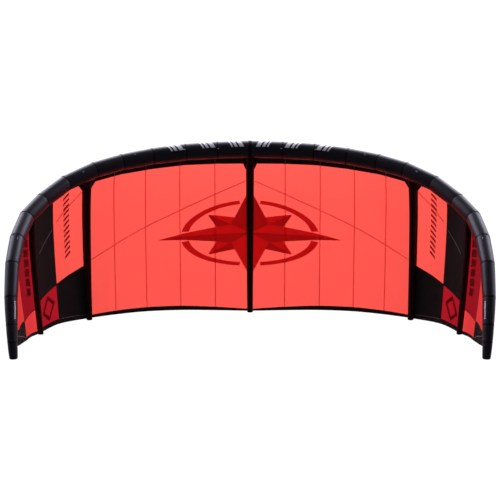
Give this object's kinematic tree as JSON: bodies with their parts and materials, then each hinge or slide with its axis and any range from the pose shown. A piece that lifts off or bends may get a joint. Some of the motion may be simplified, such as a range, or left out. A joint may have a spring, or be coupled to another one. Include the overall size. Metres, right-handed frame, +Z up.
{
  "type": "kitesurfing kite",
  "caption": "C-shaped kite for kitesurfing: a fat tapered leading edge tube, slim struts and a canopy of coral, red and black panels between them.",
  "frame": {"origin": "middle of the flat foot of the centre strut, on the surface that the kite rests on", "axes": "+X along the span from tip to tip, +Z up towards the leading edge, -Y towards the rider, out of the kite's hollow"},
  "size_m": [4.4518, 1.9661, 1.8184],
  "materials": {
    "coral": "thin calendered ripstop, slightly see-through",
    "red": "thin calendered ripstop",
    "black": "woven polyester, slightly glossy",
    "tube": "dense woven polyester with a satin sheen",
    "webbing": "matte woven tape"
  },
  "bodies": {
    "root": {"bridle_tab_1_left": "webbing", "bridle_tab_1_right": "webbing", "bridle_tab_2_left": "webbing", "bridle_tab_2_right": "webbing", "bridle_tab_3_left": "webbing", "bridle_tab_3_right": "webbing", "bridle_tab_4_left": "webbing", "bridle_tab_4_right": "webbing", "bridle_tab_5_left": "webbing", "bridle_tab_5_right": "webbing", "front_band_left": "black", "front_band_right": "black", "main_panel_1_left": "coral", "main_panel_1_right": "coral", "main_panel_2_left": "coral", "main_panel_2_right": "coral", "main_panel_3_left": "coral", "main_panel_3_right": "coral", "main_panel_4_left": "coral", "main_panel_4_right": "coral", "main_panel_5_left": "coral", "main_panel_5_right": "coral", "main_tail_band_left": "black", "main_tail_band_right": "black", "strut_centre": "black", "strut_inner_left": "black", "strut_inner_right": "black", "strut_outer_left": "black", "strut_outer_right": "black", "tip_corner_left": "black", "tip_corner_right": "black", "tip_end_left": "tube", "tip_end_right": "tube", "tip_lower_inner_left": "coral", "tip_lower_inner_right": "coral", "tip_lower_outer_left": "black", "tip_lower_outer_right": "black", "tip_tail_band_left": "black", "tip_tail_band_right": "black", "tip_upper_inner_left": "red", "tip_upper_inner_right": "red", "tip_upper_outer_left": "coral", "tip_upper_outer_right": "coral", "tube_main_left": "tube", "tube_main_right": "tube", "tube_shoulder_left": "tube", "tube_shoulder_right": "tube", "tube_tip_left": "tube", "tube_tip_right": "tube", "wing_lower_inner_left": "black", "wing_lower_inner_right": "black", "wing_lower_outer_left": "red", "wing_lower_outer_right": "red", "wing_tail_band_left": "black", "wing_tail_band_right": "black", "wing_upper_inner_left": "coral", "wing_upper_inner_right": "coral", "wing_upper_outer_left": "black", "wing_upper_outer_right": "black"}
  },
  "joints": []
}
